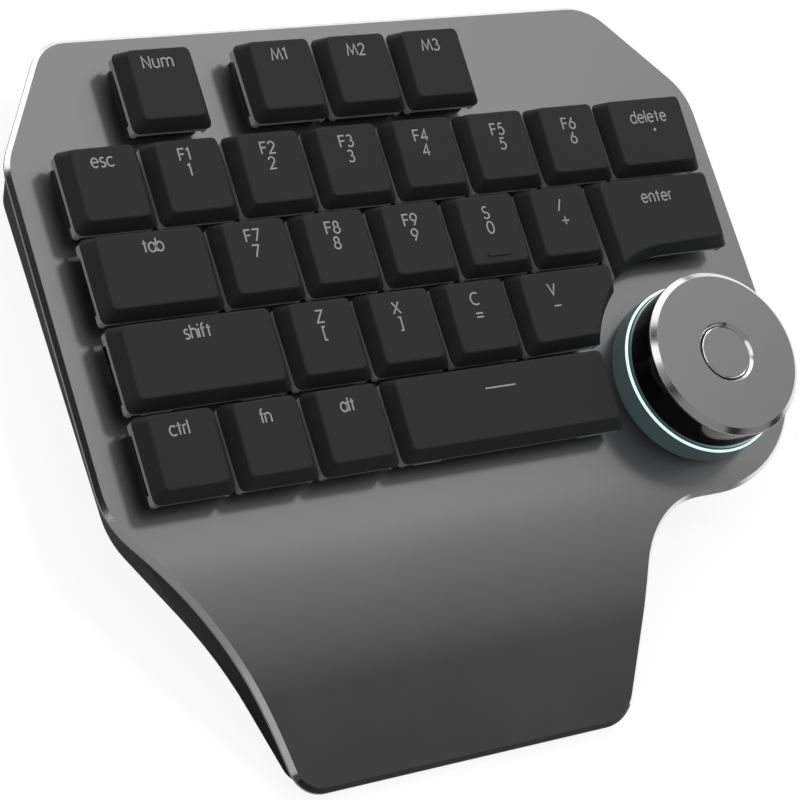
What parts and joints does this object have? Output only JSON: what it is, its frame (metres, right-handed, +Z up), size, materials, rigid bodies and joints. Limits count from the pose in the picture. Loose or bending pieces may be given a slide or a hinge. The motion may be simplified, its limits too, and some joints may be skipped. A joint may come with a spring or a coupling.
{
  "type": "one-handed keyboard",
  "caption": "Low one-handed keyboard: rows of keycaps on a metal plate that bends down into a palm rest, with a large round push dial beside them.",
  "frame": {"origin": "on the desk, under the middle of the keyboard's overall box", "axes": "+X to the user's right along the key rows, +Y away from the user, +Z up"},
  "size_m": [0.175, 0.1618, 0.0312],
  "materials": {
    "aluminium_plate": "bead-blasted, dark grey anodised, bright cut edge",
    "case_plastic": "fine matt texture",
    "circuit_board": "solder mask",
    "switch_plastic": "moulded",
    "switch_cover_plastic": "moulded",
    "spring_steel": "drawn wire",
    "keycap_plastic": "satin, with a clear white liner inside",
    "clear_white_plastic": "moulded",
    "smoked_ring": "smoked clear plastic",
    "light_ring": "light guide, lit pale cyan",
    "lamp": "moulded",
    "encoder_plastic": "moulded",
    "steel": "plated",
    "gloss_black": "polished",
    "aluminium_cap": "spun face, bright cut edges",
    "aluminium_button": "spun face",
    "chip": "moulded",
    "brass": "turned",
    "rubber": "matt"
  },
  "bodies": {
    "keyboard": {"top_plate": "aluminium_plate", "base_shell": "case_plastic", "main_board": "circuit_board", "ring_led_board": "circuit_board", "switch_bases_row_1": "switch_plastic", "switch_bases_row_2": "switch_plastic", "switch_bases_row_3": "switch_plastic", "switch_bases_row_4": "switch_plastic", "switch_bases_row_5": "switch_plastic", "switch_covers": "switch_cover_plastic", "switch_springs": "spring_steel", "stabiliser_housings": "clear_white_plastic", "dial_base_ring": "smoked_ring", "dial_light_ring": "light_ring", "ring_leds": "lamp", "encoder_body": "encoder_plastic", "tact_switch": "encoder_plastic", "case_screws": "steel", "usb_socket": "steel", "controller_chip": "chip", "plate_standoffs": "brass", "rubber_feet": "rubber"},
    "dial": {"encoder_shaft": "steel", "dial_skirt": "gloss_black", "dial_cap": "aluminium_cap", "button_spring": "spring_steel"},
    "dial_button": {"dial_button": "aluminium_button", "button_plunger": "encoder_plastic"},
    "key_ctrl": {"key_ctrl": "keycap_plastic"},
    "key_fn": {"key_fn": "keycap_plastic"},
    "key_alt": {"key_alt": "keycap_plastic"},
    "key_space": {"key_space": "keycap_plastic"},
    "key_shift": {"key_shift": "keycap_plastic"},
    "key_z": {"key_z": "keycap_plastic"},
    "key_x": {"key_x": "keycap_plastic"},
    "key_c": {"key_c": "keycap_plastic"},
    "key_v": {"key_v": "keycap_plastic"},
    "key_tab": {"key_tab": "keycap_plastic"},
    "key_f7": {"key_f7": "keycap_plastic"},
    "key_f8": {"key_f8": "keycap_plastic"},
    "key_f9": {"key_f9": "keycap_plastic"},
    "key_s": {"key_s": "keycap_plastic"},
    "key_slash": {"key_slash": "keycap_plastic"},
    "key_enter": {"key_enter": "keycap_plastic"},
    "key_esc": {"key_esc": "keycap_plastic"},
    "key_f1": {"key_f1": "keycap_plastic"},
    "key_f2": {"key_f2": "keycap_plastic"},
    "key_f3": {"key_f3": "keycap_plastic"},
    "key_f4": {"key_f4": "keycap_plastic"},
    "key_f5": {"key_f5": "keycap_plastic"},
    "key_f6": {"key_f6": "keycap_plastic"},
    "key_delete": {"key_delete": "keycap_plastic"},
    "key_num": {"key_num": "keycap_plastic"},
    "key_m1": {"key_m1": "keycap_plastic"},
    "key_m2": {"key_m2": "keycap_plastic"},
    "key_m3": {"key_m3": "keycap_plastic"},
    "stabiliser_wire_shift": {"stabiliser_wire_shift": "spring_steel"},
    "stabiliser_wire_space": {"stabiliser_wire_space": "spring_steel"}
  },
  "joints": [
    {"name": "press_ctrl", "type": "slide", "parent": "keyboard", "child": "key_ctrl", "axis": [0, 0, -1], "range_m": [0, 0.003], "stiffness_N_per_m": 100, "springref_m": -0.002, "deforming": ["switch_springs"]},
    {"name": "press_fn", "type": "slide", "parent": "keyboard", "child": "key_fn", "axis": [0, 0, -1], "range_m": [0, 0.003], "stiffness_N_per_m": 100, "springref_m": -0.002, "deforming": ["switch_springs"]},
    {"name": "press_alt", "type": "slide", "parent": "keyboard", "child": "key_alt", "axis": [0, 0, -1], "range_m": [0, 0.003], "stiffness_N_per_m": 100, "springref_m": -0.002, "deforming": ["switch_springs"]},
    {"name": "press_space", "type": "slide", "parent": "keyboard", "child": "key_space", "axis": [0, 0, -1], "range_m": [0, 0.003], "stiffness_N_per_m": 120, "springref_m": -0.002, "deforming": ["switch_springs"]},
    {"name": "press_shift", "type": "slide", "parent": "keyboard", "child": "key_shift", "axis": [0, 0, -1], "range_m": [0, 0.003], "stiffness_N_per_m": 120, "springref_m": -0.002, "deforming": ["switch_springs"]},
    {"name": "press_z", "type": "slide", "parent": "keyboard", "child": "key_z", "axis": [0, 0, -1], "range_m": [0, 0.003], "stiffness_N_per_m": 100, "springref_m": -0.002, "deforming": ["switch_springs"]},
    {"name": "press_x", "type": "slide", "parent": "keyboard", "child": "key_x", "axis": [0, 0, -1], "range_m": [0, 0.003], "stiffness_N_per_m": 100, "springref_m": -0.002, "deforming": ["switch_springs"]},
    {"name": "press_c", "type": "slide", "parent": "keyboard", "child": "key_c", "axis": [0, 0, -1], "range_m": [0, 0.003], "stiffness_N_per_m": 100, "springref_m": -0.002, "deforming": ["switch_springs"]},
    {"name": "press_v", "type": "slide", "parent": "keyboard", "child": "key_v", "axis": [0, 0, -1], "range_m": [0, 0.003], "stiffness_N_per_m": 100, "springref_m": -0.002, "deforming": ["switch_springs"]},
    {"name": "press_tab", "type": "slide", "parent": "keyboard", "child": "key_tab", "axis": [0, 0, -1], "range_m": [0, 0.003], "stiffness_N_per_m": 100, "springref_m": -0.002, "deforming": ["switch_springs"]},
    {"name": "press_f7", "type": "slide", "parent": "keyboard", "child": "key_f7", "axis": [0, 0, -1], "range_m": [0, 0.003], "stiffness_N_per_m": 100, "springref_m": -0.002, "deforming": ["switch_springs"]},
    {"name": "press_f8", "type": "slide", "parent": "keyboard", "child": "key_f8", "axis": [0, 0, -1], "range_m": [0, 0.003], "stiffness_N_per_m": 100, "springref_m": -0.002, "deforming": ["switch_springs"]},
    {"name": "press_f9", "type": "slide", "parent": "keyboard", "child": "key_f9", "axis": [0, 0, -1], "range_m": [0, 0.003], "stiffness_N_per_m": 100, "springref_m": -0.002, "deforming": ["switch_springs"]},
    {"name": "press_s", "type": "slide", "parent": "keyboard", "child": "key_s", "axis": [0, 0, -1], "range_m": [0, 0.003], "stiffness_N_per_m": 100, "springref_m": -0.002, "deforming": ["switch_springs"]},
    {"name": "press_slash", "type": "slide", "parent": "keyboard", "child": "key_slash", "axis": [0, 0, -1], "range_m": [0, 0.003], "stiffness_N_per_m": 100, "springref_m": -0.002, "deforming": ["switch_springs"]},
    {"name": "press_enter", "type": "slide", "parent": "keyboard", "child": "key_enter", "axis": [0, 0, -1], "range_m": [0, 0.003], "stiffness_N_per_m": 100, "springref_m": -0.002, "deforming": ["switch_springs"]},
    {"name": "press_esc", "type": "slide", "parent": "keyboard", "child": "key_esc", "axis": [0, 0, -1], "range_m": [0, 0.003], "stiffness_N_per_m": 100, "springref_m": -0.002, "deforming": ["switch_springs"]},
    {"name": "press_f1", "type": "slide", "parent": "keyboard", "child": "key_f1", "axis": [0, 0, -1], "range_m": [0, 0.003], "stiffness_N_per_m": 100, "springref_m": -0.002, "deforming": ["switch_springs"]},
    {"name": "press_f2", "type": "slide", "parent": "keyboard", "child": "key_f2", "axis": [0, 0, -1], "range_m": [0, 0.003], "stiffness_N_per_m": 100, "springref_m": -0.002, "deforming": ["switch_springs"]},
    {"name": "press_f3", "type": "slide", "parent": "keyboard", "child": "key_f3", "axis": [0, 0, -1], "range_m": [0, 0.003], "stiffness_N_per_m": 100, "springref_m": -0.002, "deforming": ["switch_springs"]},
    {"name": "press_f4", "type": "slide", "parent": "keyboard", "child": "key_f4", "axis": [0, 0, -1], "range_m": [0, 0.003], "stiffness_N_per_m": 100, "springref_m": -0.002, "deforming": ["switch_springs"]},
    {"name": "press_f5", "type": "slide", "parent": "keyboard", "child": "key_f5", "axis": [0, 0, -1], "range_m": [0, 0.003], "stiffness_N_per_m": 100, "springref_m": -0.002, "deforming": ["switch_springs"]},
    {"name": "press_f6", "type": "slide", "parent": "keyboard", "child": "key_f6", "axis": [0, 0, -1], "range_m": [0, 0.003], "stiffness_N_per_m": 100, "springref_m": -0.002, "deforming": ["switch_springs"]},
    {"name": "press_delete", "type": "slide", "parent": "keyboard", "child": "key_delete", "axis": [0, 0, -1], "range_m": [0, 0.003], "stiffness_N_per_m": 100, "springref_m": -0.002, "deforming": ["switch_springs"]},
    {"name": "press_num", "type": "slide", "parent": "keyboard", "child": "key_num", "axis": [0, 0, -1], "range_m": [0, 0.003], "stiffness_N_per_m": 100, "springref_m": -0.002, "deforming": ["switch_springs"]},
    {"name": "press_m1", "type": "slide", "parent": "keyboard", "child": "key_m1", "axis": [0, 0, -1], "range_m": [0, 0.003], "stiffness_N_per_m": 100, "springref_m": -0.002, "deforming": ["switch_springs"]},
    {"name": "press_m2", "type": "slide", "parent": "keyboard", "child": "key_m2", "axis": [0, 0, -1], "range_m": [0, 0.003], "stiffness_N_per_m": 100, "springref_m": -0.002, "deforming": ["switch_springs"]},
    {"name": "press_m3", "type": "slide", "parent": "keyboard", "child": "key_m3", "axis": [0, 0, -1], "range_m": [0, 0.003], "stiffness_N_per_m": 100, "springref_m": -0.002, "deforming": ["switch_springs"]},
    {"name": "dial_turn", "type": "hinge", "parent": "keyboard", "child": "dial", "pos_m": [0.05977, -0.0114, 0.0312], "axis": [0, 0, 1], "continuous": true},
    {"name": "press_dial_button", "type": "slide", "parent": "dial", "child": "dial_button", "axis": [0, 0, -1], "range_m": [0, 0.0006], "stiffness_N_per_m": 600, "springref_m": -0.001, "deforming": ["button_spring"]},
    {"name": "shift_wire_swing", "type": "hinge", "parent": "keyboard", "child": "stabiliser_wire_shift", "pos_m": [-0.06058, 0.01495, 0.0163], "axis": [1, 0, 0], "range_deg": [0, 19.4]},
    {"name": "space_wire_swing", "type": "hinge", "parent": "keyboard", "child": "stabiliser_wire_space", "pos_m": [0.00609, -0.0041, 0.0163], "axis": [1, 0, 0], "range_deg": [0, 19.4]}
  ],
  "couplings": [
    {"joint": "shift_wire_swing", "follows": "press_shift", "rad_per_m": 112.55},
    {"joint": "space_wire_swing", "follows": "press_space", "rad_per_m": 112.55}
  ]
}
